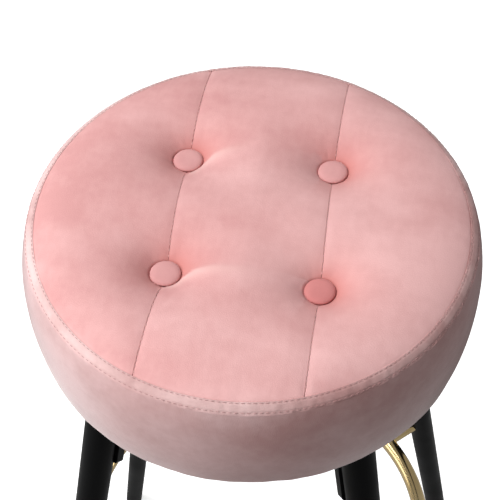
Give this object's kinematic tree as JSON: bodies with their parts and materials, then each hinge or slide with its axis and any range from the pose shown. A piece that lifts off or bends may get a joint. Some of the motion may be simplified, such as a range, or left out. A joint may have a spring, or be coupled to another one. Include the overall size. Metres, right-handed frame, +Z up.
{
  "type": "counter stool",
  "caption": "Round stool with a button tufted velvet seat on splayed black legs, braced by a polished brass footrest ring.",
  "frame": {"origin": "centre of the stool's footprint, on the floor", "axes": "+Z up along the seat's axis, front towards -Y, the four legs on the diagonals between X and Y"},
  "size_m": [0.38, 0.38, 0.762],
  "materials": {
    "velvet": "soft short pile velvet, pale pink",
    "velvet_welt": "flat double stitched velvet welt",
    "velvet_button": "velvet pulled smooth over a button",
    "foam": "upholstery foam",
    "plywood": "plain birch plywood",
    "dust_cloth": "thin black non-woven cloth",
    "twine": "waxed tufting twine",
    "zinc": "zinc plated",
    "black_steel": "satin black powder coat",
    "black_lacquer": "turned hardwood under satin black lacquer",
    "insert_brass": "plain turned brass",
    "gold": "polished brass plate",
    "glide_plastic": "black nylon"
  },
  "bodies": {
    "root": {"velvet_top_left": "velvet", "velvet_top_centre": "velvet", "velvet_top_right": "velvet", "velvet_side_band": "velvet", "edge_welt": "velvet_welt", "button_back_left": "velvet_button", "button_back_right": "velvet_button", "button_front_left": "velvet_button", "button_front_right": "velvet_button", "foam_pad": "foam", "seat_board": "plywood", "dust_cover": "dust_cloth", "button_twines": "twine", "twine_washers": "zinc", "board_inserts": "zinc", "flange_bolts": "black_steel", "bracket_back_left": "black_steel", "bracket_back_right": "black_steel", "bracket_front_left": "black_steel", "bracket_front_right": "black_steel", "leg_back_left": "black_lacquer", "leg_back_right": "black_lacquer", "leg_front_left": "black_lacquer", "leg_front_right": "black_lacquer", "leg_screws": "black_steel", "leg_inserts": "insert_brass", "footrest_ring": "gold", "ring_spacers": "gold", "ring_screws": "gold", "glide_back_left": "glide_plastic", "glide_back_right": "glide_plastic", "glide_front_left": "glide_plastic", "glide_front_right": "glide_plastic"}
  },
  "joints": []
}
